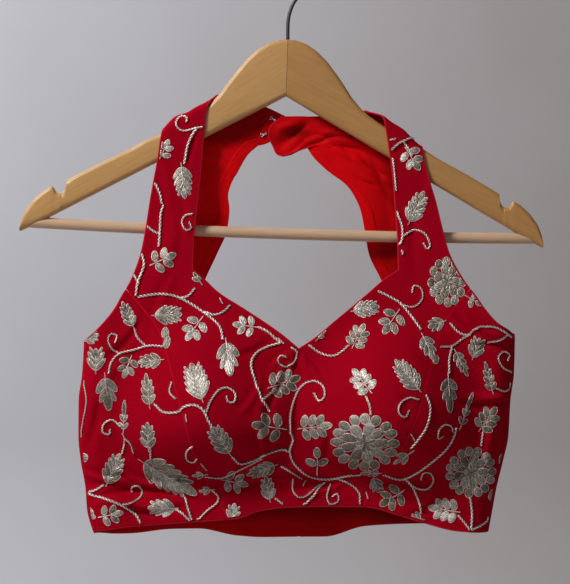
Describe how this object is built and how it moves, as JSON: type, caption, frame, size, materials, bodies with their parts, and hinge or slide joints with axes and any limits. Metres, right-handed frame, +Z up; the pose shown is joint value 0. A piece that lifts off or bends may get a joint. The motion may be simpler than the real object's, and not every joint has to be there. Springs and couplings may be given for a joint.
{
  "type": "sleeveless blouse on a wooden hanger",
  "caption": "Fitted sleeveless crop blouse with shaped cups, wide straps, sweetheart neck and keyhole back, hung on a wooden hanger with a bar and wire hook.",
  "frame": {"origin": "the inside top of the wire hook's loop, where the rail touches it", "axes": "+Z up, +Y from the blouse's front to its back, +X to the right as the front is seen"},
  "size_m": [0.4449, 0.0864, 0.5024],
  "materials": {
    "front_centre": "crimson raw silk with silver-grey metallic thread embroidery",
    "side_front_left": "crimson raw silk with silver-grey metallic thread embroidery",
    "side_front_right": "crimson raw silk with silver-grey metallic thread embroidery",
    "back_left": "crimson raw silk outside, bright red cotton lining inside",
    "back_right": "crimson raw silk outside, bright red cotton lining inside",
    "facing": "bright red bias strip, stitched down",
    "fastener": "plated wire",
    "arm_wood": "clear varnished pale wood",
    "bar_wood": "plain pale dowel",
    "hook_wire": "dark plated wire"
  },
  "bodies": {
    "root": {"front_centre": "front_centre", "side_front_left": "side_front_left", "side_front_right": "side_front_right", "back_left": "back_left", "back_right": "back_right", "keyhole_facing_left": "facing", "keyhole_facing_right": "facing", "neck_hook_upper": "fastener", "neck_hook_lower": "fastener", "band_hook_upper": "fastener", "band_hook_middle": "fastener", "band_hook_lower": "fastener", "hanger_arm_left": "arm_wood", "hanger_arm_right": "arm_wood", "hanger_bar": "bar_wood", "hanger_hook": "hook_wire"}
  },
  "joints": []
}
